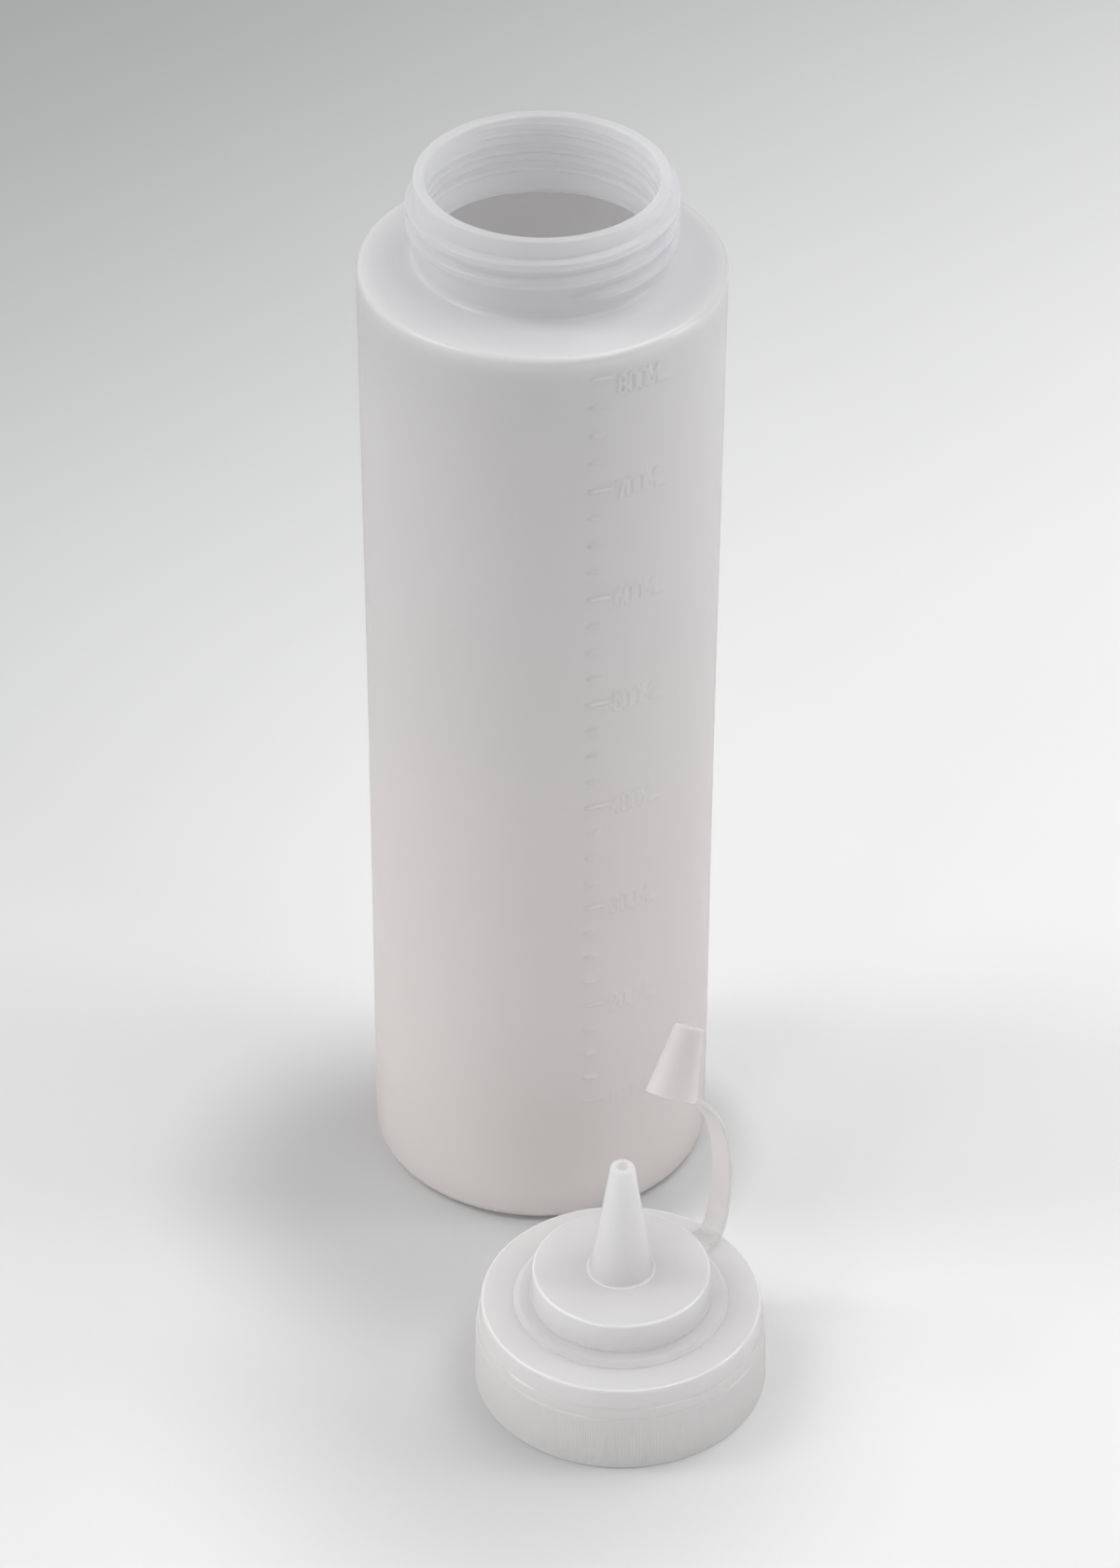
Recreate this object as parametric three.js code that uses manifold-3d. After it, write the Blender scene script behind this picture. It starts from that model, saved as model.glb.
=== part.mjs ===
// Wide-mouth squeeze bottle for sauce, standing open, with its screw-on nozzle cap beside it.
// The cap carries a loose tether ring, a curling strap and a small conical tip cap.
// Units are millimetres, +Z up. The origin is the middle of the whole set on the floor it stands on.
import * as THREE from "three";
import { mergeVertices } from "three/addons/utils/BufferGeometryUtils.js";
import Module from "manifold-3d";

// ---------------------------------------------------------------- driving dimensions
const SEG = 48; // facets round each turned piece

// bottle
const BODY_R_TOP = 36.45; // just under the shoulder
const BODY_R_WAIST = 35.6;
const BODY_WALL = 1.0;
const FOOT_R_OUT = 34.2;
const FOOT_R_IN = 30.6;
const PUSH_UP = 1.6; // height of the recess in the base
const BASE_T = 1.4;
const SHOULDER_Z = 216.4;
const NECK_ROOT_Z = 218.2;
const NECK_R = 25.1;
const NECK_R_IN = 22.8;
const RIM_Z = 235.2;

// thread, right-handed, the same pitch on the neck and in the cap
const PITCH = 4.05;
const RIDGE_R = 1.3; // radius of the rounded ridge
const NECK_RIDGE_AT = 25.45; // the ridge's centre line on the neck
const NECK_THREAD_TOP_Z = 232.7;
const NECK_THREAD_START = 130; // degrees, where the top end of the ridge is
const NECK_TURNS = 2.6;
const CAP_RIDGE_AT = 27.3;
const CAP_THREAD_TOP_Z = 12.9;
const CAP_TURNS = 1.9;
const CAP_THREAD_START = 300;

// nozzle cap, which stands on its skirt
const CAP_X = 16.4; // from the bottle's axis
const CAP_Y = -81.9;
const SKIRT_R = 29.9;
const SKIRT_R_IN = 27.4;
const KNURL_TOP_Z = 12.9;
const BAND_TOP_Z = 15.3;
const SHELF_R = 27.9;
const SHELF_Z = 19.6;
const SHELF_T = 2.2;
const SEAL_R_IN = 21.4; // plug ring that seals in the bottle's mouth
const SEAL_R_OUT = 22.3;
const SEAL_DROP = 2.4;
const DOME_R_BASE = 18.6;
const DOME_R_TOP = 17.9;
const DOME_Z = 27.6;
const NOZZLE_R_BASE = 6.3;
const NOZZLE_Z_BASE = 28.4;
const NOZZLE_R_TIP = 2.51;
const NOZZLE_Z_TIP = 54.43;
const BORE_R_TIP = 1.5;
const BORE_R_BASE = 5.2;

// tether: ring round the dome, strap and tip cap, in a vertical plane through the cap's axis
const TETHER_AZ = 45; // degrees from +X
const RING_R_IN = 18.95;
const RING_R_OUT = 21.6;
const RING_Z0 = 19.9;
const RING_Z1 = 21.2;
const STRAP_W = 5.4;
const STRAP_T = 0.9;
// centre line of the strap: distance from the cap's axis, height
const STRAP_LINE = [
  [26.4, 20.5], [27.2, 22.0], [28.2, 25.0], [28.9, 28.7], [29.3, 33.4], [29.3, 38.2], [28.8, 43.2],
  [27.6, 48.0], [25.8, 52.4], [23.6, 56.3], [21.8, 58.9], [20.0, 60.7], [18.1746, 61.8309],
];
// where the strap bends when the tip cap is closed: distance along the centre line, and the bend in degrees
const BENDS = [[0.0, 12.17], [5.0, 11.29], [12.14, 64.71], [19.28, 42.09], [26.42, 78.96], [33.56, 40.31], [40.7, 48.61]];
const TIP_R_MOUTH = 5.3;
const TIP_R_TOP = 3.1;
const TIP_L = 14.85;
const TIP_WALL = 0.8;
const TIP_DEPTH = 13.6;
const TIP_AT = [13.5, 64.4]; // middle of the mouth: distance from the cap's axis, height
const TIP_LEAN = 35.25; // degrees, outwards in the tether's plane
const TIP_TWIST = 11.47; // degrees, out of that plane about the strap's end

// middle of the set's footprint
const MID_X = (-BODY_R_TOP + CAP_X + SKIRT_R) / 2;
const MID_Y = (CAP_Y - SKIRT_R + BODY_R_TOP) / 2;

// ---------------------------------------------------------------- helpers
const wasm = await Module();
wasm.setup();
const rad = (d) => (d * Math.PI) / 180;

function toSolid(geometry) {
  const g = geometry.index ? geometry.toNonIndexed() : geometry.clone();
  g.deleteAttribute("normal");
  g.deleteAttribute("uv");
  const m = mergeVertices(g, 1e-4);
  return new wasm.Manifold(
    new wasm.Mesh({
      numProp: 3,
      vertProperties: new Float32Array(m.attributes.position.array),
      triVerts: new Uint32Array(m.index.array),
    }),
  );
}

function fromSolid(solid) {
  const m = solid.getMesh();
  const g = new THREE.BufferGeometry();
  const pos = new Float32Array(m.numVert * 3);
  for (let i = 0; i < m.numVert; i++)
    for (let k = 0; k < 3; k++) pos[3 * i + k] = m.vertProperties[i * m.numProp + k];
  g.setAttribute("position", new THREE.BufferAttribute(pos, 3));
  g.setIndex(new THREE.BufferAttribute(new Uint32Array(m.triVerts), 1));
  return g;
}

// Profile of [radius, height] turned about Z. It runs outside first, bottom to top, and back inside.
function turned(profile, segments = SEG) {
  const g = new THREE.LatheGeometry(
    profile.map(([r, z]) => new THREE.Vector2(r, z)),
    segments,
  );
  g.rotateX(Math.PI / 2);
  return g;
}

class Helix extends THREE.Curve {
  constructor(r, zTop, startDeg, turns, pitch) {
    super();
    Object.assign(this, { r, zTop, startDeg, turns, pitch });
  }
  getPoint(t, target = new THREE.Vector3()) {
    const a = rad(this.startDeg) - (1 - t) * this.turns * 2 * Math.PI;
    return target.set(
      this.r * Math.cos(a),
      this.r * Math.sin(a),
      this.zTop - (1 - t) * this.turns * this.pitch,
    );
  }
}

function ridge(r, zTop, startDeg, turns) {
  const section = new THREE.Shape();
  for (let i = 0; i < 8; i++) {
    const a = ((i + 0.5) / 8) * 2 * Math.PI;
    const x = RIDGE_R * Math.cos(a);
    const y = RIDGE_R * Math.sin(a);
    if (i) section.lineTo(x, y);
    else section.moveTo(x, y);
  }
  section.closePath();
  return new THREE.ExtrudeGeometry(section, {
    steps: Math.round(turns * 34),
    bevelEnabled: false,
    extrudePath: new Helix(r, zTop, startDeg, turns, PITCH),
  });
}

// Outline in the tether's plane, extruded across its width about that plane.
function plate(outline, width) {
  const s = new THREE.Shape(outline.map(([r, z]) => new THREE.Vector2(r, z)));
  const g = new THREE.ExtrudeGeometry(s, { depth: width, bevelEnabled: false });
  g.translate(0, 0, -width / 2);
  g.rotateX(Math.PI / 2); // the outline's height becomes Z
  return g;
}

function piece(name, geometry, material) {
  const m = new THREE.Mesh(geometry, material);
  m.name = name;
  return m;
}

// ---------------------------------------------------------------- materials
const bottlePlastic = new THREE.MeshStandardMaterial({ color: 0xdfe3e2, roughness: 0.42, metalness: 0, transparent: true, opacity: 0.7 });
const capPlastic = new THREE.MeshStandardMaterial({ color: 0xdfe3e6, roughness: 0.3, metalness: 0, transparent: true, opacity: 0.6 });
const tetherPlastic = new THREE.MeshStandardMaterial({ color: 0xd9dee3, roughness: 0.28, metalness: 0, transparent: true, opacity: 0.6 });

// ---------------------------------------------------------------- bottle
function bottleGeometry() {
  const w = BODY_WALL;
  const outside = [
    [0, PUSH_UP],
    [FOOT_R_IN - 3, PUSH_UP],
    [FOOT_R_IN, 0],
    [FOOT_R_OUT, 0],
    [35.1, 0.7],
    [35.5, 2.2],
    [35.55, 30],
    [BODY_R_WAIST, 70],
    [35.78, 120],
    [36.1, 165],
    [36.38, 198],
    [BODY_R_TOP, 211.8],
    [36.15, 213.9],
    [35.3, 215.4],
    [34.0, 216.1],
    [32.6, SHOULDER_Z],
    [26.9, 217.5],
    [25.8, NECK_ROOT_Z],
    [NECK_R, 219.2],
    [NECK_R, 233.9],
    [24.9, 234.8],
    [24.4, RIM_Z],
  ];
  const inside = [
    [23.4, RIM_Z],
    [NECK_R_IN, 234.7],
    [NECK_R_IN, 217.6],
    [23.4, 216.6],
    [32.6, SHOULDER_Z - 1.3],
    [34.5, 214.3],
    [BODY_R_TOP - w, 211.5],
    [36.38 - w, 198],
    [36.1 - w, 165],
    [35.78 - w, 120],
    [BODY_R_WAIST - w, 70],
    [35.55 - w, 30],
    [34.4, 4.6],
    [33.2, PUSH_UP + BASE_T],
    [0, PUSH_UP + BASE_T],
  ];
  const wall = toSolid(turned([...outside, ...inside]));
  const thread = toSolid(ridge(NECK_RIDGE_AT, NECK_THREAD_TOP_Z, NECK_THREAD_START, NECK_TURNS));
  return fromSolid(wall.add(thread));
}

// ---------------------------------------------------------------- nozzle cap
function capGeometry() {
  const outside = [
    [SKIRT_R_IN, 0],
    [29.5, 0],
    [SKIRT_R, 0.5],
    [SKIRT_R - 0.15, KNURL_TOP_Z - 0.3],
    [29.35, KNURL_TOP_Z],
    [29.2, BAND_TOP_Z - 0.2],
    [28.95, BAND_TOP_Z],
    [28.6, SHELF_Z - 0.9],
    [28.4, SHELF_Z - 0.25],
    [SHELF_R, SHELF_Z],
    [DOME_R_BASE, SHELF_Z],
    [18.45, 21.5],
    [19.2, 21.75],
    [19.2, 22.15],
    [18.4, 22.5],
    [DOME_R_TOP + 0.1, DOME_Z - 0.5],
    [DOME_R_TOP - 0.35, DOME_Z],
    [7.1, DOME_Z],
    [6.8, 27.1],
    [6.45, 27.3],
    [NOZZLE_R_BASE, NOZZLE_Z_BASE],
    [NOZZLE_R_TIP + 0.12, NOZZLE_Z_TIP - 0.35],
    [NOZZLE_R_TIP - 0.25, NOZZLE_Z_TIP],
  ];
  const inside = [
    [BORE_R_TIP, NOZZLE_Z_TIP],
    [BORE_R_TIP + 0.1, 50],
    [BORE_R_BASE, 27.0],
    [5.9, 25.7],
    [16.2, 25.7],
    [16.9, 25.0],
    [17.2, SHELF_Z - SHELF_T],
    [SEAL_R_IN, SHELF_Z - SHELF_T],
    [SEAL_R_IN + 0.2, SHELF_Z - SHELF_T - SEAL_DROP],
    [SEAL_R_OUT - 0.3, SHELF_Z - SHELF_T - SEAL_DROP],
    [SEAL_R_OUT, SHELF_Z - SHELF_T],
    [SKIRT_R_IN - 0.4, SHELF_Z - SHELF_T],
    [SKIRT_R_IN, SHELF_Z - SHELF_T - 0.6],
  ];
  const shell = toSolid(turned([...outside, ...inside, outside[0]]));
  const thread = toSolid(ridge(CAP_RIDGE_AT, CAP_THREAD_TOP_Z, CAP_THREAD_START, CAP_TURNS));
  return fromSolid(shell.add(thread));
}

// ---------------------------------------------------------------- tether
function ringGeometry() {
  const ring = toSolid(
    turned([
      [RING_R_IN, RING_Z0],
      [RING_R_OUT, RING_Z0],
      [RING_R_OUT, RING_Z1 - 0.35],
      [RING_R_OUT - 0.35, RING_Z1],
      [RING_R_IN + 0.3, RING_Z1],
      [RING_R_IN, RING_Z1 - 0.3],
      [RING_R_IN, RING_Z0],
    ]),
  );
  const tab = toSolid(
    plate(
      [
        [RING_R_IN + 0.9, RING_Z0],
        [STRAP_LINE[0][0] - 0.25, RING_Z0 + 0.05],
        [STRAP_LINE[0][0] - 0.35, RING_Z0 + 0.05 + STRAP_T],
        [RING_R_OUT, RING_Z1 - 0.15],
        [RING_R_IN + 0.9, RING_Z1 - 0.15],
      ],
      STRAP_W,
    ),
  );
  return fromSolid(ring.add(tab));
}

const line = new THREE.SplineCurve(STRAP_LINE.map(([r, z]) => new THREE.Vector2(r, z)));
line.arcLengthDivisions = 2000;
const strapLength = line.getLength();

function strapGeometry(from, to) {
  const steps = Math.max(2, Math.round((to - from) / 1.7));
  const left = [];
  const right = [];
  for (let i = 0; i <= steps; i++) {
    const u = (from + ((to - from) * i) / steps) / strapLength;
    const p = line.getPointAt(u);
    const t = line.getTangentAt(u);
    left.push([p.x - (t.y * STRAP_T) / 2, p.y + (t.x * STRAP_T) / 2]);
    right.push([p.x + (t.y * STRAP_T) / 2, p.y - (t.x * STRAP_T) / 2]);
  }
  return plate([...right, ...left.reverse()], STRAP_W);
}

function tipGeometry() {
  const slope = (TIP_R_MOUTH - TIP_R_TOP) / TIP_L;
  const cup = toSolid(
    turned(
      [
        [TIP_R_MOUTH - TIP_WALL, 0],
        [TIP_R_MOUTH, 0],
        [TIP_R_TOP + 0.1, TIP_L - 0.5],
        [TIP_R_TOP - 0.4, TIP_L],
        [0, TIP_L],
        [0, TIP_DEPTH],
        [TIP_R_MOUTH - TIP_WALL - slope * TIP_DEPTH, TIP_DEPTH],
        [TIP_R_MOUTH - TIP_WALL, 0],
      ],
      32,
    ),
  );
  const ear = toSolid(
    plate(
      [
        [TIP_R_MOUTH - 0.5, 0.6 - STRAP_T / 2],
        [TIP_R_MOUTH + 0.95, 0.6 - STRAP_T / 2],
        [TIP_R_MOUTH + 0.95, 0.6 + STRAP_T / 2],
        [TIP_R_MOUTH - 0.5, 0.6 + STRAP_T / 2],
      ],
      STRAP_W - 0.6,
    ),
  );
  return fromSolid(cup.add(ear));
}

// ---------------------------------------------------------------- assembly
const set = new THREE.Group();
set.position.set(-MID_X, -MID_Y, 0);

set.add(piece("bottle", bottleGeometry(), bottlePlastic));

const cap = new THREE.Group();
cap.position.set(CAP_X, CAP_Y, 0);
set.add(cap);
cap.add(piece("cap_shell", capGeometry(), capPlastic));

const tether = new THREE.Group();
tether.rotation.z = rad(TETHER_AZ);
cap.add(tether);
tether.add(piece("tether_ring", ringGeometry(), tetherPlastic));

// half of the room left at each bend, so that the neighbours never meet when it closes
const room = BENDS.map(([, bend]) => Math.max(0.16, (STRAP_T / 2) * Math.tan(rad(bend) / 2) + 0.08));
const END_GAP = 1.3;
BENDS.forEach(([at], i) => {
  const from = at + room[i];
  const to = i + 1 < BENDS.length ? BENDS[i + 1][0] - room[i + 1] : strapLength - END_GAP;
  tether.add(piece("strap_" + (i + 1), strapGeometry(from, to), tetherPlastic));
});

// The tip cap leans out in the tether's plane, then turns about the strap's end.
const lean = rad(TIP_LEAN);
const twist = new THREE.Group();
const earDir = new THREE.Vector3(Math.cos(lean), 0, -Math.sin(lean));
const axisDir = new THREE.Vector3(Math.sin(lean), 0, Math.cos(lean));
const mouth = new THREE.Vector3(TIP_AT[0], 0, TIP_AT[1]);
const hinge = mouth.clone().addScaledVector(earDir, TIP_R_MOUTH + 1.1).addScaledVector(axisDir, 0.6);
twist.position.copy(hinge);
twist.quaternion.setFromAxisAngle(earDir.clone().negate(), rad(TIP_TWIST));
tether.add(twist);
const tip = piece("tip_cap", tipGeometry(), tetherPlastic);
tip.position.copy(mouth).sub(hinge);
tip.rotation.y = lean;
twist.add(tip);

export default set;
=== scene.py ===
import math

import bmesh
import bpy
import numpy as np
from mathutils import Matrix, Vector


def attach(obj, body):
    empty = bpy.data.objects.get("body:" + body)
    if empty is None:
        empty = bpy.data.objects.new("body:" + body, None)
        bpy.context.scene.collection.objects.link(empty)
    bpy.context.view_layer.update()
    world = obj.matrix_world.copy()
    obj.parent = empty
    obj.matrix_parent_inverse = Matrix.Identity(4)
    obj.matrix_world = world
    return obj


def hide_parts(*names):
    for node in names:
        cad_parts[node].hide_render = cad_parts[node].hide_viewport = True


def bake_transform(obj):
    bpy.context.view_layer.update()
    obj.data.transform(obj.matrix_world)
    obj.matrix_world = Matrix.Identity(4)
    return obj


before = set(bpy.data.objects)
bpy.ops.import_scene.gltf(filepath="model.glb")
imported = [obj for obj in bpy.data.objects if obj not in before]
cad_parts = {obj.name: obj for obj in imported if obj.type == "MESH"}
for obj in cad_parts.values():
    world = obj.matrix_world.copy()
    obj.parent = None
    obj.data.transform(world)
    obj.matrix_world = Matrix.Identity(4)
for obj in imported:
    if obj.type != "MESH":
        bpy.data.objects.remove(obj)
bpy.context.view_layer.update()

# ---------------------------------------------------------------- sizes, millimetres
BOTTLE_AT = (-4.925, 37.675)
CAP_AT = (11.475, -44.225)
PITCH = 4.05
RIDGE = 1.3

# volume scale: angle of its left edge, height of the 800 mark, spacing of the 100 ml marks
SCALE_AZ = -75.5
SCALE_TOP = 210.61
SCALE_STEP = 25.527
MARK_LONG = 4.7
MARK_SHORT = 2.6
TEXT_AT = 5.7
TEXT_H = 4.05

TETHER_AZ = math.radians(45)
LEAN = math.radians(35.25)
TWIST = math.radians(11.47)
STRAP_W = 5.4
STRAP_T = 0.9


# ---------------------------------------------------------------- helpers: numbers
def smooth(a, b, x):
    t = np.clip((np.asarray(x, float) - a) / (b - a), 0, 1)
    return t * t * (3 - 2 * t)


def soft_max(a, b, k):
    h = np.maximum(k - np.abs(a - b), 0) / k
    return np.maximum(a, b) + h * h * k / 4


def rounded(points, step=None):
    """Outline of (radius, height, corner radius), with every corner an arc and a support point beside each arc."""
    p = [np.array(q[:2], float) for q in points]
    cr = [q[2] if len(q) > 2 else 0 for q in points]
    runs = []
    for i, q in enumerate(p):
        if i in (0, len(p) - 1) or cr[i] <= 0:
            runs.append([q])
            continue
        a, b = p[i - 1] - q, p[i + 1] - q
        la, lb = np.linalg.norm(a), np.linalg.norm(b)
        a, b = a / la, b / lb
        turn = math.pi - math.acos(max(-1, min(1, float(a @ b))))
        if turn < 0.02:
            runs.append([q])
            continue
        cut = min(cr[i] * math.tan(turn / 2), 0.46 * la, 0.46 * lb)
        rad = cut / math.tan(turn / 2)
        mid = (a + b) / np.linalg.norm(a + b)
        centre = q + mid * rad / math.cos(turn / 2)
        s, e = q + a * cut - centre, q + b * cut - centre
        n = max(2, int(math.ceil(math.degrees(turn) / 13)))
        arc = []
        for k in range(n + 1):
            f = k / n
            w = math.sin(turn) if math.sin(turn) > 1e-6 else 1
            arc.append(centre + (s * math.sin((1 - f) * turn) + e * math.sin(f * turn)) / w if turn < 3.1 else centre + s * (1 - f) + e * f)
        runs.append(arc)
    out = []
    for i, run in enumerate(runs):
        if i:
            a, b = out[-1], run[0]
            length = np.linalg.norm(b - a)
            if length > 0.5:
                e = min(0.14, length * 0.2) / length
                n = 1 if not step else max(1, int(round(length / step)))
                f = sorted(set([e] + [k / n for k in range(1, n)] + [1 - e]))
                out += [a + (b - a) * t for t in f]
        out += list(run)
    keep = [out[0]]
    for q in out[1:]:
        if np.linalg.norm(q - keep[-1]) > 1e-4:
            keep.append(q)
    return np.array(keep)


def spline(points, n=24):
    """Centripetal Catmull-Rom curve through the points."""
    p = [np.array(q, float) for q in points]
    p = [2 * p[0] - p[1]] + p + [2 * p[-1] - p[-2]]
    out = []
    for i in range(1, len(p) - 2):
        q = p[i - 1 : i + 3]
        t = [0.0]
        for k in range(3):
            t.append(t[-1] + max(1e-6, np.linalg.norm(q[k + 1] - q[k])) ** 0.5)
        for u in np.linspace(t[1], t[2], n, endpoint=False):
            a1 = (t[1] - u) / (t[1] - t[0]) * q[0] + (u - t[0]) / (t[1] - t[0]) * q[1]
            a2 = (t[2] - u) / (t[2] - t[1]) * q[1] + (u - t[1]) / (t[2] - t[1]) * q[2]
            a3 = (t[3] - u) / (t[3] - t[2]) * q[2] + (u - t[2]) / (t[3] - t[2]) * q[3]
            b1 = (t[2] - u) / (t[2] - t[0]) * a1 + (u - t[0]) / (t[2] - t[0]) * a2
            b2 = (t[3] - u) / (t[3] - t[1]) * a2 + (u - t[1]) / (t[3] - t[1]) * a3
            out.append((t[2] - u) / (t[2] - t[1]) * b1 + (u - t[1]) / (t[2] - t[1]) * b2)
    out.append(p[-2])
    return np.array(out)


# ---------------------------------------------------------------- helpers: meshes
class Body:
    """Vertices in millimetres and the faces between chains of them."""

    def __init__(self):
        self.co, self.faces, self.n = [], [], 0

    def add(self, pts):
        pts = np.asarray(pts, float).reshape(-1, 3)
        self.co.append(pts)
        self.n += len(pts)
        return np.arange(self.n - len(pts), self.n)

    def ring(self, r, z, deg, at=(0, 0)):
        a = np.radians(deg)
        r = np.broadcast_to(r, a.shape)
        return self.add(np.stack([at[0] + r * np.cos(a), at[1] + r * np.sin(a), np.broadcast_to(z, a.shape)], 1))

    def bridge(self, a, b, closed=True):
        if closed:
            a, b = np.append(a, a[0]), np.append(b, b[0])
        self.faces += np.stack([a[:-1], a[1:], b[1:], b[:-1]], 1).tolist()

    def zipper(self, a, pa, b, pb):
        """Triangles between two chains whose points sit at the rising parameters pa and pb."""
        i = j = 0
        while i < len(a) - 1 or j < len(b) - 1:
            step_a = j == len(b) - 1 or (i < len(a) - 1 and pa[i + 1] - 1e-9 <= pb[j + 1])
            if step_a:
                self.faces.append([int(a[i]), int(a[i + 1]), int(b[j])])
                i += 1
            else:
                self.faces.append([int(a[i]), int(b[j + 1]), int(b[j])])
                j += 1

    def zip_rings(self, a, da, b, db):
        """Two closed rings with their own angles, each starting at its smallest angle."""
        k = int(np.argmin(np.abs(((db - da[0] + 180) % 360) - 180)))
        b, db = np.roll(b, -k), np.roll(db, -k)
        da = da[0] + ((da - da[0]) % 360)
        first = ((db[0] - da[0] + 180) % 360) - 180 + da[0]
        db = first + ((db - db[0]) % 360)
        self.zipper(np.append(a, a[0]), np.append(da, da[0] + 360), np.append(b, b[0]), np.append(db, db[0] + 360))

    def fan(self, ring, point):
        c = self.add([point])[0]
        a = np.append(ring, ring[0])
        self.faces += [[int(a[i]), int(a[i + 1]), int(c)] for i in range(len(ring))]

    def make(self, name, place=None):
        co = np.concatenate(self.co)
        if place is not None:
            co = place(co)
        me = bpy.data.meshes.new(name)
        me.from_pydata((co * 0.001).tolist(), [], self.faces)
        me.validate()
        bm = bmesh.new()
        bm.from_mesh(me)
        bmesh.ops.recalc_face_normals(bm, faces=bm.faces)
        for f in bm.faces:
            f.smooth = True
        bm.to_mesh(me)
        bm.free()
        ob = bpy.data.objects.new(name, me)
        bpy.context.scene.collection.objects.link(ob)
        return ob


def helix_rows(deg, z_top, start, turns):
    """For each angle, the heights at which the thread passes it, and how whole the thread is there."""
    out = []
    deg = np.asarray(deg, float) % 360
    for k in range(-6, 3):
        a = deg + 360 * k
        along = a - (start - turns * 360)
        inside = (along > 0) & (along < turns * 360)
        z = z_top - (start - a) / 360 * PITCH
        whole = smooth(0, 26, along) * smooth(0, 30, turns * 360 - along)
        out.append((np.where(inside, z, -1e3), np.where(inside, whole, 0)))
    return out


def merged(first, second, name):
    """first and second as one body."""
    m = first.modifiers.new("join", "BOOLEAN")
    m.operation, m.solver, m.object = "UNION", "EXACT", second
    dg = bpy.context.evaluated_depsgraph_get()
    me = bpy.data.meshes.new_from_object(first.evaluated_get(dg))
    me.name = name
    first.modifiers.remove(m)
    ob = bpy.data.objects.new(name, me)
    bpy.context.scene.collection.objects.link(ob)
    for o in (first, second):
        old = o.data
        bpy.data.objects.remove(o)
        bpy.data.meshes.remove(old)
    return ob


# ---------------------------------------------------------------- lettering of the volume scale
def arc(cx, cy, rx, ry, a0, a1, n=14):
    return [(cx + rx * math.cos(math.radians(a)), cy + ry * math.sin(math.radians(a))) for a in np.linspace(a0, a1, n)]


def figure(ch):
    w = 0.385
    r = w / 2
    m = w * 1.45
    strokes = {
        "0": ([arc(r, 1 - r, r, r, 0, 180) + arc(r, r, r, r, 180, 360) + [(w, 1 - r)]], w),
        "8": ([arc(r, 0.745, r * 0.88, 0.255, -90, 270, 22), arc(r, 0.255, r, 0.255, -90, 270, 22)], w),
        "7": ([[(0, 1), (w, 1), (w * 0.42, 0)]], w),
        "6": ([arc(r, 0.3, r, 0.3, 0, 360, 24), [(0.0, 0.3), (w * 0.03, 0.5), (w * 0.1, 0.64), (w * 0.3, 0.86), (w * 0.72, 1.0)]], w),
        "5": ([[(w * 0.95, 1), (w * 0.12, 1), (w * 0.05, 0.56)] + arc(r * 0.95, 0.31, r * 1.02, 0.31, 128, -140, 18)], w),
        "4": ([[(w * 0.72, 0), (w * 0.72, 1), (0, 0.3), (w, 0.3)]], w),
        "3": ([arc(r * 0.9, 0.75, r * 0.92, 0.25, 140, -75, 14) + arc(r * 0.9, 0.26, r * 1.02, 0.26, 75, -145, 16)], w),
        "2": ([arc(r, 0.72, r, 0.28, 165, -20, 14) + [(0, 0), (w, 0)]], w),
        "1": ([[(w * 0.18, 0.78), (w * 0.55, 1), (w * 0.55, 0)]], w),
        "M": ([[(0, 0), (0, 1), (m * 0.5, 0.3), (m, 1), (m, 0)]], m),
        "L": ([[(0, 1), (0, 0), (w * 1.05, 0)]], w * 1.05),
    }
    return strokes[ch]


def label(text, x0, z0, height):
    """Line segments of a label, in millimetres: along the wall from the scale's left edge, and up."""
    x, segs = x0, []
    for ch in text:
        lines, w = figure(ch)
        for l in lines:
            q = [(x + a * height, z0 + b * height) for a, b in l]
            segs += list(zip(q[:-1], q[1:]))
        x += (w + 0.15) * height
    return segs


def distance(px, pz, segs):
    d = np.full(px.shape, 1e3)
    for (ax, az), (bx, bz) in segs:
        dx, dz = bx - ax, bz - az
        t = np.clip(((px - ax) * dx + (pz - az) * dz) / max(1e-9, dx * dx + dz * dz), 0, 1)
        d = np.minimum(d, np.hypot(px - ax - t * dx, pz - az - t * dz))
    return d


# ---------------------------------------------------------------- bottle
def body_radius(z):
    zs = np.array([0, 12, 30, 70, 120, 165, 198, 212, 225.0])
    rs = np.array([35.5, 35.52, 35.55, 35.6, 35.77, 36.08, 36.33, 36.42, 36.45])
    m = np.gradient(rs, zs)
    z = np.asarray(z, float)
    i = np.clip(np.searchsorted(zs, z) - 1, 0, len(zs) - 2)
    h = zs[i + 1] - zs[i]
    t = np.clip((z - zs[i]) / h, 0, 1)
    return (
        rs[i] * (2 * t**3 - 3 * t**2 + 1)
        + m[i] * h * (t**3 - 2 * t**2 + t)
        + rs[i + 1] * (3 * t**2 - 2 * t**3)
        + m[i + 1] * h * (t**3 - t**2)
    )


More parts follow.
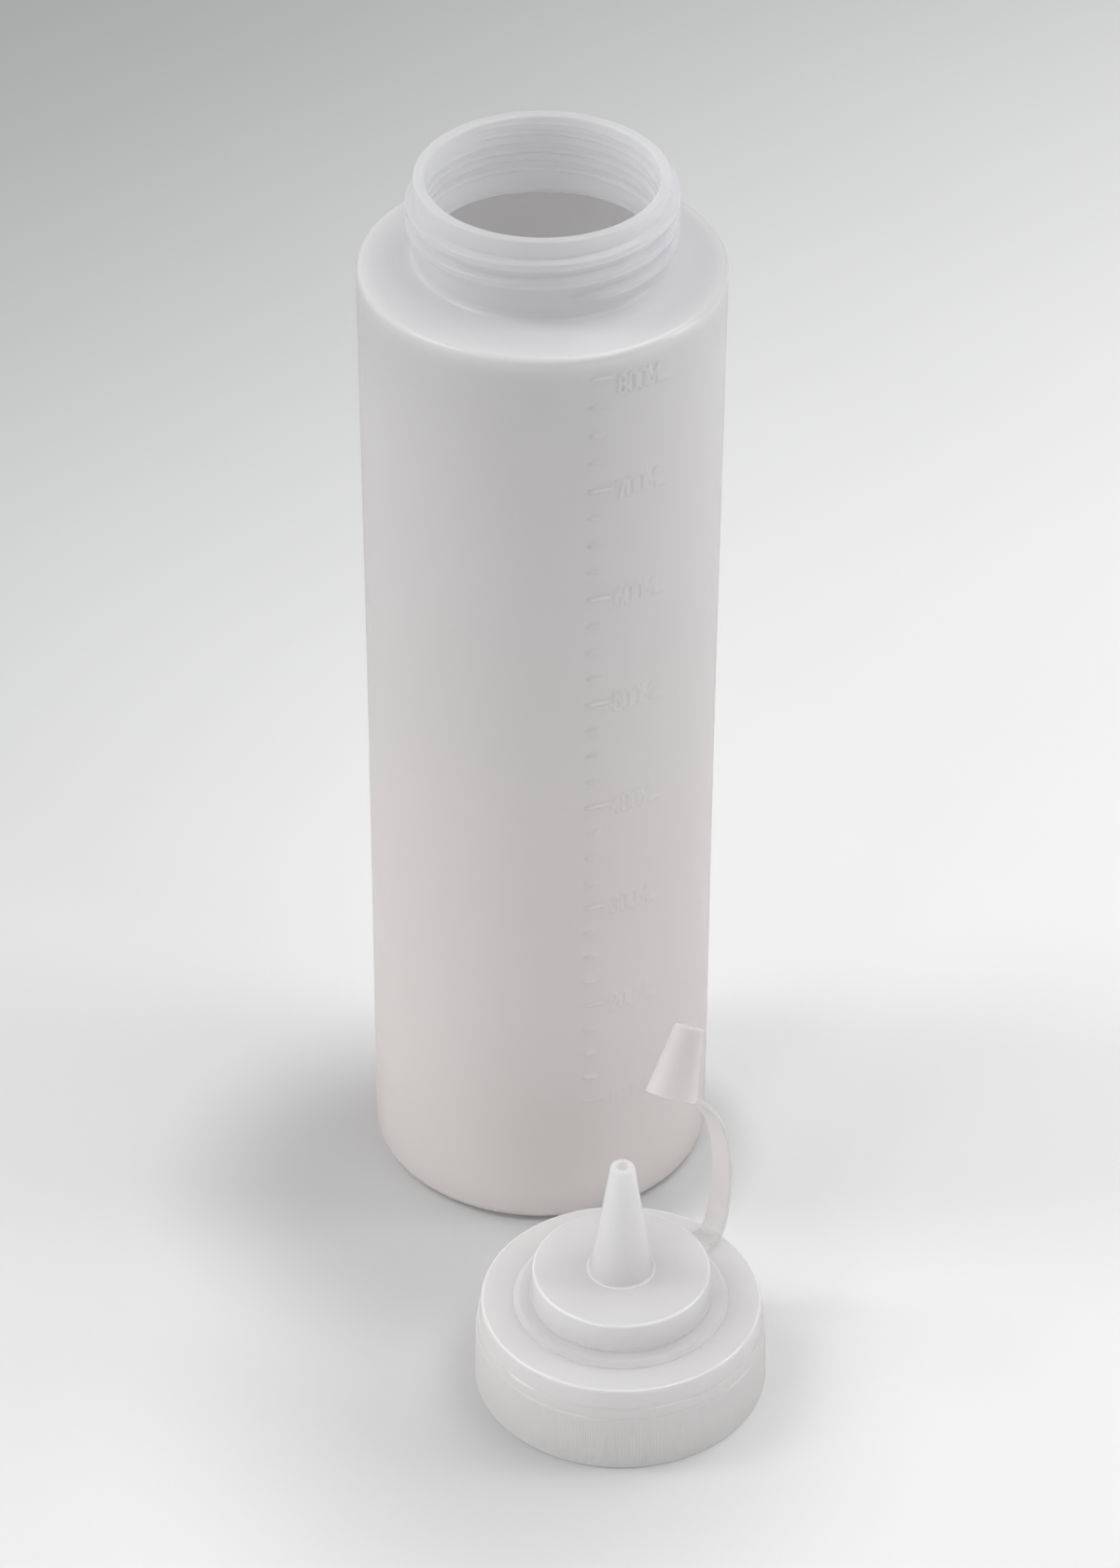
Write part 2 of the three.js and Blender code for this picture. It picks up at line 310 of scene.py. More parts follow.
def emboss(arc_mm, z):
    """Height of the volume scale above the wall."""
    h = np.zeros(np.broadcast(arc_mm, z).shape)
    arc_mm, z = np.broadcast_arrays(arc_mm, z)
    for k in range(8, 0, -1):
        zt = SCALE_TOP - (8 - k) * SCALE_STEP
        soft = {1: 0.4, 2: 0.75}.get(k, 1.0)
        worn = (0.3, 0.5, 0.62, 0.68, 0.72, 0.76, 0.82, 1.0)[k - 1]
        near = np.abs(z - zt) < 8
        if near.any():
            drop = 3.9 if k == 8 else 2.6
            d = distance(arc_mm[near], z[near], label("%d00ML" % k, TEXT_AT, zt - drop, TEXT_H))
            h[near] = np.maximum(h[near], 0.26 * worn * (1 - smooth(0.18, 0.52, d)))
            d = distance(arc_mm[near], z[near], [((0.3, zt), (MARK_LONG - 0.3, zt))])
            h[near] = np.maximum(h[near], 0.64 * soft * (1 - smooth(0.2, 0.5, d)))
        for m in (1, 2, 3):
            zm = zt - m * SCALE_STEP / 4
            if k == 1:
                continue
            near = np.abs(z - zm) < 1.2
            if near.any():
                d = distance(arc_mm[near], z[near], [((0.3, zm), (MARK_SHORT - 0.3, zm))])
                h[near] = np.maximum(h[near], 0.6 * (1 - smooth(0.2, 0.48, d)))
    return h


def bottle():
    b = Body()
    at = BOTTLE_AT
    # foot: recess, standing ring, rounded edge
    foot_deg = np.arange(0, 360, 2.25)
    foot = rounded([(0.8, 1.6), (27.6, 1.6, 1.6), (30.6, 0.0, 0.9), (34.0, 0.0, 1.0), (35.5, 1.5, 2.2), (35.52, 12.0)])
    rings = [b.ring(r, z, foot_deg, at) for r, z in foot]
    for p, q in zip(rings[:-1], rings[1:]):
        b.bridge(p, q)
    b.fan(rings[0], (at[0], at[1], 1.6))
    # wall: a fine strip that carries the scale, and the plain rest
    per = math.degrees(1 / 36.0)
    arc_mm = np.concatenate([np.arange(-1.0, 5.3, 0.45), np.arange(5.3, 19.4, 0.22)])
    fine_deg = SCALE_AZ + arc_mm * per
    coarse_deg = np.linspace(fine_deg[-1], fine_deg[0] + 360, 212)[1:-1]
    rows = []
    for k in range(8, 0, -1):
        zt = SCALE_TOP - (8 - k) * SCALE_STEP
        drop = 3.9 if k == 8 else 2.6
        rows += list(np.arange(zt - drop - 0.7, zt - drop + TEXT_H + 0.75, 0.2))
        for m in (1, 2, 3):
            rows += list(zt - m * SCALE_STEP / 4 + np.arange(-0.6, 0.61, 0.2))
    rows = np.array(sorted(rows))
    z_lo, z_hi = 12.5, 213.0
    rows = rows[(rows > z_lo + 0.3) & (rows < z_hi - 0.3)]
    full = [z_lo]
    for z in rows:
        gap = z - full[-1]
        if gap < 0.12:
            continue
        if gap > 2.2:
            n = int(math.ceil(gap / 2.2))
            full += [full[-1] + gap * i / n for i in range(1, n)]
        full.append(z)
    full.append(z_hi)
    full = np.array(full)
    r = body_radius(full)[:, None] + emboss(arc_mm[None, :], full[:, None])
    a = np.radians(fine_deg)[None, :]
    grid = b.add(np.stack([at[0] + r * np.cos(a), at[1] + r * np.sin(a), np.broadcast_to(full[:, None], r.shape)], 2))
    grid = grid.reshape(r.shape)
    for p, q in zip(grid[:-1], grid[1:]):
        b.bridge(p, q, closed=False)
    plain_z = np.linspace(z_lo, z_hi, 41)
    plain = [b.ring(float(body_radius(z)), z, coarse_deg, at) for z in plain_z]
    for p, q in zip(plain[:-1], plain[1:]):
        b.bridge(p, q, closed=False)
    b.zipper(grid[:, -1], full, np.array([p[0] for p in plain]), plain_z)
    b.zipper(np.array([p[-1] for p in plain]), plain_z, grid[:, 0], full)
    band_deg = np.concatenate([fine_deg, coarse_deg])
    low, high = np.concatenate([grid[0], plain[0]]), np.concatenate([grid[-1], plain[-1]])
    b.zip_rings(rings[-1], foot_deg, low, band_deg)
    # shoulder, neck with its thread, rim
    neck_deg = np.arange(0, 360, 2.0)
    top = rounded(
        [(36.425, 213.0), (36.43, 215.62, 3.4), (25.1, 217.9, 1.9), (25.1, 219.9)]
    )
    top = top[top[:, 1] > 213.05]
    neck_z = np.arange(220.1, 233.95, 0.2)
    rim = rounded([(25.1, 233.95), (25.05, 235.2, 0.42), (22.85, 235.2, 0.9), (22.85, 233.9)])
    chain = np.concatenate([top, np.stack([np.full(len(neck_z), 25.1), neck_z], 1), rim])
    threads = helix_rows(neck_deg, 232.7, 130, 2.6)
    rings = []
    for rr, z in chain:
        r = np.full(len(neck_deg), rr)
        if 217.5 < z < 235 and rr > 24.9:
            for zc, whole in threads:
                dz = np.abs(z - zc)
                crest = 24.7 + 2.02 * (1 - smooth(0.58, 1.36, dz))
                r = np.where(dz < 2.2, soft_max(r, crest - (1 - whole) * 2.1, 0.2), r)
            r = np.minimum(r, 26.72)
        rings.append(b.ring(r, z, neck_deg, at))
    for p, q in zip(rings[:-1], rings[1:]):
        b.bridge(p, q)
    b.zip_rings(rings[0], neck_deg, high, band_deg)
    outer_end = rings[-1]
    # inside of the neck, with the thread's groove
    inner_z = np.arange(233.75, 219.6, -0.15)
    rings = [outer_end]
    for z in inner_z:
        r = np.full(len(neck_deg), 22.85)
        for zc, whole in threads:
            dz = np.abs(z - zc)
            step = 0.85 * whole * (1 - smooth(0.76, 0.98, dz)) - 0.38 * whole * np.exp(-(((dz - 1.08) / 0.18) ** 2))
            r = np.where(dz < 2.0, 22.85 + step, r)
        rings.append(b.ring(r, z, neck_deg, at))
    inside = rounded([(22.85, 219.2), (22.85, 218.25, 0.14), (24.4, 217.0, 0.8), (32.6, 215.0, 3.0), (35.42, 213.9, 2.4), (35.44, 210.5)])
    for rr, z in inside:
        rings.append(b.ring(rr, z, neck_deg, at))
    for p, q in zip(rings[:-1], rings[1:]):
        b.bridge(p, q)
    last = rings[-1]
    # inside of the wall and the floor of the bottle
    in_deg = np.arange(0, 360, 3.0)
    zs = np.concatenate([np.linspace(208.5, 8.0, 34)])
    line = [(float(body_radius(z)) - 1.0, z) for z in zs]
    line += [tuple(q) for q in rounded([(34.5, 7.5), (34.3, 3.0, 3.2), (0.8, 3.0)])]
    rings = [b.ring(rr, z, in_deg, at) for rr, z in line]
    for p, q in zip(rings[:-1], rings[1:]):
        b.bridge(p, q)
    b.zip_rings(last, neck_deg, rings[0], in_deg)
    b.fan(rings[-1], (at[0], at[1], 3.0))
    return b.make("bottle_moulding")


# ---------------------------------------------------------------- nozzle cap
def nozzle_cap():
    b = Body()
    at = CAP_AT
    ribs = 376
    rib_deg = np.arange(ribs * 4) * 360 / (ribs * 4)
    wave = np.tile([0.0, 0.62, 1.0, 0.62], ribs)
    deg = np.arange(0, 360, 1.5)
    # ribbed skirt
    skirt = [(29.4, 0.02), (29.62, 0.08), (29.78, 0.2), (29.87, 0.36), (29.89, 0.5), (29.88, 0.62), (29.86, 0.8), (29.85, 1.1), (29.83, 3.5), (29.78, 6.0), (29.72, 8.5), (29.66, 11.0), (29.63, 12.0), (29.61, 12.3), (29.57, 12.52), (29.49, 12.66), (29.38, 12.76)]
    rings = []
    for rr, z in skirt:
        deep = 0.1 * float(smooth(0.6, 1.1, z)) * (1 - float(smooth(12.1, 12.75, z)))
        rings.append(b.ring(rr - deep * (1 - wave), z, rib_deg, at))
    for p, q in zip(rings[:-1], rings[1:]):
        b.bridge(p, q)
    first_rib, last_rib = rings[0], rings[-1]
    # band with its two steps, shelf, dome, groove, nozzle
    outside = rounded(
        [
            (29.31, 12.84),
            (29.28, 12.95, 0.06),
            (29.22, 15.06, 0.08),
            (28.86, 15.26, 0.08),
            (28.62, 18.9, 0.5),
            (28.3, 19.6, 0.36),
            (18.5, 19.6, 0.2),
            (18.47, 21.3, 0.12),
            (18.6, 21.5, 0.1),
            (18.6, 21.75, 0.14),
            (18.4, 22.1, 0.3),
            (18.04, 27.6, 0.55),
            (6.98, 27.6, 0.1),
            (6.86, 27.86, 0.18),
            (6.37, 27.9, 0.4),
            (2.47, 54.0, 0.2),
            (2.17, 54.43, 0.24),
            (1.22, 54.43, 0.16),
            (1.4, 50.0, 1.0),
            (5.2, 27.0, 1.0),
            (5.9, 25.7, 0.5),
            (16.2, 25.7, 0.4),
            (16.9, 25.0, 0.4),
            (17.2, 17.4, 0.4),
            (21.4, 17.4, 0.3),
            (21.6, 15.0, 0.15),
            (22.0, 15.0, 0.15),
            (22.3, 17.4, 0.3),
            (27.0, 17.4, 0.3),
            (27.4, 16.8, 0.2),
            (27.4, 15.6),
        ],
        step=2.2,
    )
    threads = helix_rows(deg, 12.9, 300, 1.9)
    rings = [b.ring(rr, z, deg, at) for rr, z in outside]
    for z in np.arange(15.4, 0.7, -0.32):
        r = np.full(len(deg), 27.4)
        for zc, whole in threads:
            dz = np.abs(z - zc)
            crest = np.where(dz < RIDGE, 27.3 - np.sqrt(np.maximum(RIDGE**2 - dz**2, 0)), 27.3 + (dz - RIDGE) * 4)
            r = np.where(dz < 2.2, -soft_max(-r, -(crest + (1 - whole) * 1.6), 0.4), r)
        rings.append(b.ring(np.maximum(r, 26.0), z, deg, at))
    for rr, z in rounded([(27.4, 0.6), (27.42, 0.0, 0.35), (28.4, 0.0), (29.2, 0.0)]):
        rings.append(b.ring(rr, z, deg, at))
    for p, q in zip(rings[:-1], rings[1:]):
        b.bridge(p, q)
    b.zip_rings(last_rib, rib_deg, rings[0], deg)
    b.zip_rings(rings[-1], deg, first_rib, rib_deg)
    return b.make("nozzle_cap_moulding")


# ---------------------------------------------------------------- tether
ER = np.array([math.cos(TETHER_AZ), math.sin(TETHER_AZ), 0.0])
ET = np.array([-math.sin(TETHER_AZ), math.cos(TETHER_AZ), 0.0])
EZ = np.array([0.0, 0.0, 1.0])
CAP_O = np.array([CAP_AT[0], CAP_AT[1], 0.0])
EAR = math.cos(LEAN) * ER - math.sin(LEAN) * EZ
AXIS = math.sin(LEAN) * ER + math.cos(LEAN) * EZ
MOUTH = CAP_O + 13.5 * ER + 64.4 * EZ
TIP_HINGE = MOUTH + 6.4 * EAR + 0.6 * AXIS


def about(v, axis, angle):
    c, s = math.cos(angle), math.sin(angle)
    return v * c + np.cross(axis, v) * s + np.outer(v @ axis, axis).reshape(v.shape) * (1 - c)


def section(width, thick, corner):
    """Rounded rectangle, as (across, through) points."""
    out = []
    w, t = width / 2 - corner, thick / 2 - corner
    for cx, cy, a0 in ((w, t, 0), (-w, t, 90), (-w, -t, 180), (w, -t, 270)):
        for a in (0, 22.5, 45, 67.5, 90):
            out.append((cx + corner * math.cos(math.radians(a0 + a)), cy + corner * math.sin(math.radians(a0 + a))))
        if a0 in (0, 180):
            for f in (0.06, 0.5, 0.94):
                out.append((cx + (-2 * w if a0 == 0 else 2 * w) * f, out[-1][1] if f > 0.07 else cy + (corner if a0 == 0 else -corner)))
    return np.array(out)


def tube(b, centres, across, through, widths, thick=STRAP_T, corner=0.27, caps=(False, False)):
    rings = []
    for c, u, n, w in zip(centres, across, through, widths):
        s = section(w, thick, corner)
        rings.append(b.add(c + s[:, :1] * u + s[:, 1:] * n))
    for p, q in zip(rings[:-1], rings[1:]):
        b.bridge(p, q)
    for use, ring in zip(caps, (rings[0], rings[-1])):
        if use:
            b.faces.append([int(i) for i in ring])
    return rings


# centre line of the strap in the tether's plane: distance from the cap's axis, height
STRAP_LINE = [
    (23.4, 20.45), (24.4, 20.45), (25.5, 20.45), (26.28, 20.62), (26.78, 21.15), (27.25, 22.1),
    (28.2, 25.0), (28.9, 28.7), (29.3, 33.4), (29.3, 38.2), (28.8, 43.2),
    (27.6, 48.0), (25.8, 52.4), (23.65, 56.25), (21.85, 58.75),
]
for far in (7.5, 6.9, 6.3):
    STRAP_LINE.append((13.5 + math.cos(LEAN) * far + math.sin(LEAN) * 0.6, 64.4 - math.sin(LEAN) * far + math.cos(LEAN) * 0.6))
# bends of the moulding when the tip cap is closed
HINGES = [(26.4, 20.5)] + [
    (math.hypot(x - CAP_AT[0], y - CAP_AT[1]), z)
    for x, y, z in (
        (31.438, -24.262, 25.129), (32.147, -23.553, 32.189), (32.147, -23.553, 39.323),
        (31.339, -24.361, 46.358), (29.508, -26.192, 52.997), (26.816, -28.884, 59.026),
    )
]

LINE = spline(STRAP_LINE)
LINE_S = np.concatenate([[0], np.cumsum(np.linalg.norm(np.diff(LINE, axis=0), axis=1))])


def line_at(s):
    return np.array([np.interp(s, LINE_S, LINE[:, 0]), np.interp(s, LINE_S, LINE[:, 1])])


def arc_near(p):
    return float(LINE_S[int(np.argmin(np.linalg.norm(LINE - np.array(p), axis=1)))])


def line_frame(s):
    e = 0.05
    d = line_at(min(s + e, LINE_S[-1])) - line_at(max(s - e, 0))
    d = d / np.linalg.norm(d)
    p = line_at(s)
    centre = CAP_O + p[0] * ER + p[1] * EZ
    return centre, d[0] * ER + d[1] * EZ, -d[1] * ER + d[0] * EZ


def strap_piece(name, s0, s1, twist=None):
    n = max(6, int(round((s1 - s0) / 0.22)))
    ss = np.linspace(s0, s1, n + 1)
    b = Body()
    centres, across, through, widths = [], [], [], []
    for s in ss:
        c, t, nrm = line_frame(s)
        u = ET
        w = STRAP_W
        if twist is not None:
            f = float(smooth(twist[0], twist[1], s))
            t = t * (1 - f) - EAR * f
            t = t / np.linalg.norm(t)
            nrm = np.cross(ET, t)
            u, nrm = about(ET, t, TWIST * f), about(nrm, t, TWIST * f)
            nrm = -nrm if nrm @ line_frame(s)[2] < 0 else nrm
            w = STRAP_W - 0.5 * f
        centres.append(c)
        across.append(u)
        through.append(nrm)
        widths.append(w)
    tube(b, centres, across, through, widths)
    ob = b.make(name)
    return ob, ss


def point(s):
    return tuple(line_frame(s)[0] * 0.001)


def tether_ring():
    b = Body()
    deg = np.arange(0, 360, 1.0) + 0.35
    pts = rounded([(20.2, 19.63), (22.0, 19.63, 0.04), (21.75, 20.02, 0.25), (20.9, 20.7, 1.0), (18.54, 21.0, 0.1), (18.54, 19.63, 0.06), (20.2, 19.63)])[:-1]
    rings = [b.ring(r, z, deg, CAP_AT) for r, z in pts]
    for p, q in zip(rings, rings[1:] + rings[:1]):
        b.bridge(p, q)
    ring = b.make("ring_part")
    t = Body()
    rs = np.array([20.4, 21.0, 21.7, 22.4, 23.1, 23.5, 24.0])
    cut = arc_near((24.0, 20.45))
    centres = [CAP_O + r * ER + 20.45 * EZ for r in rs[:-1]] + [line_frame(cut)[0]]
    widths = [STRAP_W + 2.2 * float(1 - smooth(20.8, 23.6, r)) for r in rs[:-1]] + [STRAP_W]
    tube(t, centres, [ET] * 7, [EZ] * 7, widths, caps=(True, True))
    tab = t.make("tab_part")
    ob = merged(ring, tab, "tether_ring_moulding")
    end = line_frame(cut)[0] * 0.001
    bm = bmesh.new()
    bm.from_mesh(ob.data)
    gone = [f for f in bm.faces if all(abs((v.co - Vector(end)).dot(Vector(ER))) < 2e-6 for v in f.verts)]
    bmesh.ops.delete(bm, geom=gone, context="FACES")
    for f in bm.faces:
        f.smooth = True
    bm.to_mesh(ob.data)
    bm.free()
    ob.data.set_sharp_from_angle(angle=math.radians(38))
    return ob, cut


def tip_cap():
    b = Body()
    slope = (5.3 - 3.1) / 14.85
    line = rounded(
        [
            (0.25, 13.6),
            (4.5 - slope * 13.6, 13.6, 0.5),
            (4.5, 0.0, 0.22),
            (5.3, 0.0, 0.24),
            (5.3 - slope * 14.35 - 0.0, 14.35, 0.5),
            (2.75, 14.85, 0.4),
            (0.25, 14.85),
        ],
        step=2.0,
    )
    deg = np.arange(0, 360, 3.0)
    rings = [b.ring(r, z, deg) for r, z in line]
    for p, q in zip(rings[:-1], rings[1:]):
        b.bridge(p, q)
    b.fan(rings[0], (0, 0, 13.6))
    b.fan(rings[-1], (0, 0, 14.85))

    def place(co):
        w = MOUTH + co[:, :1] * EAR + co[:, 1:2] * ET + co[:, 2:] * AXIS
        return TIP_HINGE + about(w - TIP_HINGE, -EAR, TWIST)

    cone = b.make("cone_part", place)
    e = Body()
    c_end, t_end, n_end = line_frame(LINE_S[-1])
    u, n = about(ET, -EAR, TWIST), about(AXIS, -EAR, TWIST)
    far = np.array([4.95, 5.25, 5.6, 5.95, 6.3])
    centres = [MOUTH + f * EAR + 0.6 * AXIS for f in far]
    widths = [STRAP_W - 0.5 + 0.9 * float(1 - smooth(5.2, 6.3, f)) for f in far]
    tube(e, centres, [u] * 5, [n] * 5, widths, caps=(True, True))
    ear = e.make("ear_part")
    ob = merged(cone, ear, "tip_cap_moulding")
    end = Vector(centres[-1] * 0.001)
    bm = bmesh.new()
    bm.from_mesh(ob.data)
    gone = [f for f in bm.faces if all(abs((v.co - end).dot(Vector(EAR))) < 2e-6 for v in f.verts)]
    bmesh.ops.delete(bm, geom=gone, context="FACES")
    for f in bm.faces:
        f.smooth = True
    bm.to_mesh(ob.data)
    bm.free()
    ob.data.set_sharp_from_angle(angle=math.radians(38))
    return ob


# ---------------------------------------------------------------- materials
def plastic(name, low, high, change, spread, rough, rough_spread, through, glow, grain, ripple, see=0.0, see_edge=0.0, neck=None, shine=0.9, centre=(0, 0), painted_highlights=(), fade=None, top=None):
    """Milky polyethylene: satin shell, light through the wall, fine moulded grain and slow waves.
    low and high are its tints below and above the heights in change.
    painted_highlights are painted highlights along moulded corners (radius and height about centre and reach, in mm,
    and strength): the colour there is painted much paler and less light passes through the wall.
    fade is (low height, high height, see-through share below them), and top is (low height, high height, tint above
    them)."""
    m = bpy.data.materials.new(name)
    m.use_nodes = True
    nt = m.node_tree
    nt.nodes.clear()

    def new(kind, **values):
        n = nt.nodes.new(kind)
        for k, v in values.items():
            n.inputs[k.replace("_", " ")].default_value = v
        return n

    out = new("ShaderNodeOutputMaterial")
    co = new("ShaderNodeTexCoord")
    split = new("ShaderNodeSeparateXYZ")
    nt.links.new(co.outputs["Object"], split.inputs["Vector"])

    def noise(scale, detail, low, high, a, b):
        n = new("ShaderNodeTexNoise", Scale=scale, Detail=detail)
        nt.links.new(co.outputs["Object"], n.inputs["Vector"])
        r = new("ShaderNodeMapRange", From_Min=low, From_Max=high, To_Min=a, To_Max=b)
        nt.links.new(n.outputs["Fac"], r.inputs["Value"])
        return r.outputs["Result"]

    def ramp_z(z0, z1, a, b):
        r = new("ShaderNodeMapRange", From_Min=z0, From_Max=z1, To_Min=a, To_Max=b)
        nt.links.new(split.outputs["Z"], r.inputs["Value"])
        return r.outputs["Result"]

    def maths(op, a, b):
        n = new("ShaderNodeMath")
        n.operation = op
        for i, v in enumerate((a, b)):
            if isinstance(v, (int, float)):
                n.inputs[i].default_value = v
            else:
                nt.links.new(v, n.inputs[i])
        return n.outputs["Value"]

    # colour: one tint low down and another high up, with slow clouds of milkiness and finer flecks
    tone = maths("ADD", noise(26, 3, 0.3, 0.7, 0.0, 0.8), noise(700, 2, 0.35, 0.65, 0.0, 0.2))
    tint = nt.nodes.new("ShaderNodeMix")
    tint.data_type = "RGBA"
    tint.inputs["A"].default_value = low + (1,)
    tint.inputs["B"].default_value = high + (1,)
    nt.links.new(ramp_z(change[0], change[1], 0.0, 1.0), tint.inputs["Factor"])
    mix = nt.nodes.new("ShaderNodeMix")
    mix.data_type = "RGBA"
    mix.blend_type = "MULTIPLY"
    mix.inputs["B"].default_value = (1 - spread, 1 - spread, 1 - spread, 1)
    tinted = tint.outputs["Result"]
    if top is not None:
        upper = nt.nodes.new("ShaderNodeMix")
        upper.data_type = "RGBA"
        upper.inputs["B"].default_value = top[2] + (1,)
        nt.links.new(ramp_z(top[0], top[1], 0.0, 1.0), upper.inputs["Factor"])
        nt.links.new(tinted, upper.inputs["A"])
        tinted = upper.outputs["Result"]
    nt.links.new(tinted, mix.inputs["A"])
    nt.links.new(tone, mix.inputs["Factor"])

    colour = mix.outputs["Result"]
    corner = None
    # painted highlights: near the listed corners the colour is painted much paler and the wall lets less light through
    if painted_highlights:
        flat = new("ShaderNodeCombineXYZ")
        nt.links.new(split.outputs["X"], flat.inputs["X"])
        nt.links.new(split.outputs["Y"], flat.inputs["Y"])
        away = nt.nodes.new("ShaderNodeVectorMath")
        away.operation = "DISTANCE"
        away.inputs[1].default_value = (centre[0] * 0.001, centre[1] * 0.001, 0)
        nt.links.new(flat.outputs["Vector"], away.inputs[0])
        outline = new("ShaderNodeCombineXYZ")
        nt.links.new(away.outputs["Value"], outline.inputs["X"])
        nt.links.new(split.outputs["Z"], outline.inputs["Y"])
        for er, ez, width, most in painted_highlights:
            gap = nt.nodes.new("ShaderNodeVectorMath")
            gap.operation = "DISTANCE"
            gap.inputs[1].default_value = (er * 0.001, ez * 0.001, 0)
            nt.links.new(outline.outputs["Vector"], gap.inputs[0])
            near = new("ShaderNodeMapRange", From_Min=width * 0.0005, From_Max=width * 0.001, To_Min=most, To_Max=0.0)
            near.interpolation_type = "SMOOTHSTEP"
            nt.links.new(gap.outputs["Value"], near.inputs["Value"])
            corner = near.outputs["Result"] if corner is None else maths("MAXIMUM", corner, near.outputs["Result"])
        highlight_paint = nt.nodes.new("ShaderNodeMix")
        highlight_paint.data_type = "RGBA"
        highlight_paint.inputs["B"].default_value = (0.995, 0.992, 0.99, 1)
        nt.links.new(corner, highlight_paint.inputs["Factor"])
        nt.links.new(colour, highlight_paint.inputs["A"])
        colour = highlight_paint.outputs["Result"]

    # roughness: patches, and scuffs on the lowest few millimetres, which rub on shelves
    patches = noise(140, 5, 0.3, 0.7, rough - rough_spread, rough + rough_spread)
    scuffs = maths("MULTIPLY", ramp_z(0.0, 0.005, 0.09, 0.0), noise(600, 4, 0.45, 0.6, 0.2, 1.0))
    roughness = maths("ADD", patches, scuffs)

    fine = new("ShaderNodeTexNoise", Scale=1900, Detail=3)
    nt.links.new(co.outputs["Object"], fine.inputs["Vector"])
    b1 = new("ShaderNodeBump", Strength=1.0, Distance=grain)
    nt.links.new(fine.outputs["Fac"], b1.inputs["Height"])
    slow = new("ShaderNodeTexNoise", Scale=55, Detail=1.5)
    nt.links.new(co.outputs["Object"], slow.inputs["Vector"])
    b2 = new("ShaderNodeBump", Strength=1.0, Distance=ripple)
    nt.links.new(slow.outputs["Fac"], b2.inputs["Height"])
    nt.links.new(b1.outputs["Normal"], b2.inputs["Normal"])

    p = new("ShaderNodeBsdfPrincipled", IOR=1.51, Subsurface_Weight=glow, Subsurface_Scale=0.0025, Specular_IOR_Level=shine)
    p.inputs["Subsurface Radius"].default_value = (1.0, 0.98, 0.95)
    nt.links.new(colour, p.inputs["Base Color"])
    nt.links.new(roughness, p.inputs["Roughness"])
    nt.links.new(b2.outputs["Normal"], p.inputs["Normal"])
    t = new("ShaderNodeBsdfTranslucent")
    nt.links.new(colour, t.inputs["Color"])
    nt.links.new(b2.outputs["Normal"], t.inputs["Normal"])
    body = new("ShaderNodeMixShader", Fac=through)
    share = ramp_z(0.216, 0.2195, through, neck[0]) if neck is not None else None
    if corner is not None:
        share = maths("MULTIPLY", share if share is not None else through, maths("SUBTRACT", 1.0, corner))
    if share is not None:
        nt.links.new(share, body.inputs["Fac"])
    nt.links.new(p.outputs["BSDF"], body.inputs[1])
    nt.links.new(t.outputs["BSDF"], body.inputs[2])
    last = body.outputs["Shader"]
    if see > 0 or neck is not None:
        clear = new("ShaderNodeBsdfTransparent", Color=(0.97, 0.97, 0.975, 1))
        over = new("ShaderNodeMixShader")
        if neck is not None:
            nt.links.new(ramp_z(0.2172, 0.2195, 0.0, neck[1]), over.inputs["Fac"])
        else:
            facing = new("ShaderNodeLayerWeight", Blend=0.5)
            amount = new("ShaderNodeMapRange", From_Min=0.0, From_Max=0.75, To_Min=see, To_Max=see_edge)
            nt.links.new(facing.outputs["Facing"], amount.inputs["Value"])
            if fade is not None:
                nt.links.new(ramp_z(fade[0], fade[1], fade[2], see), amount.inputs["To Min"])
            nt.links.new(amount.outputs["Result"], over.inputs["Fac"])
        nt.links.new(last, over.inputs[1])
        nt.links.new(clear.outputs["BSDF"], over.inputs[2])
        last = over.outputs["Shader"]
    nt.links.new(last, out.inputs["Surface"])
    return m


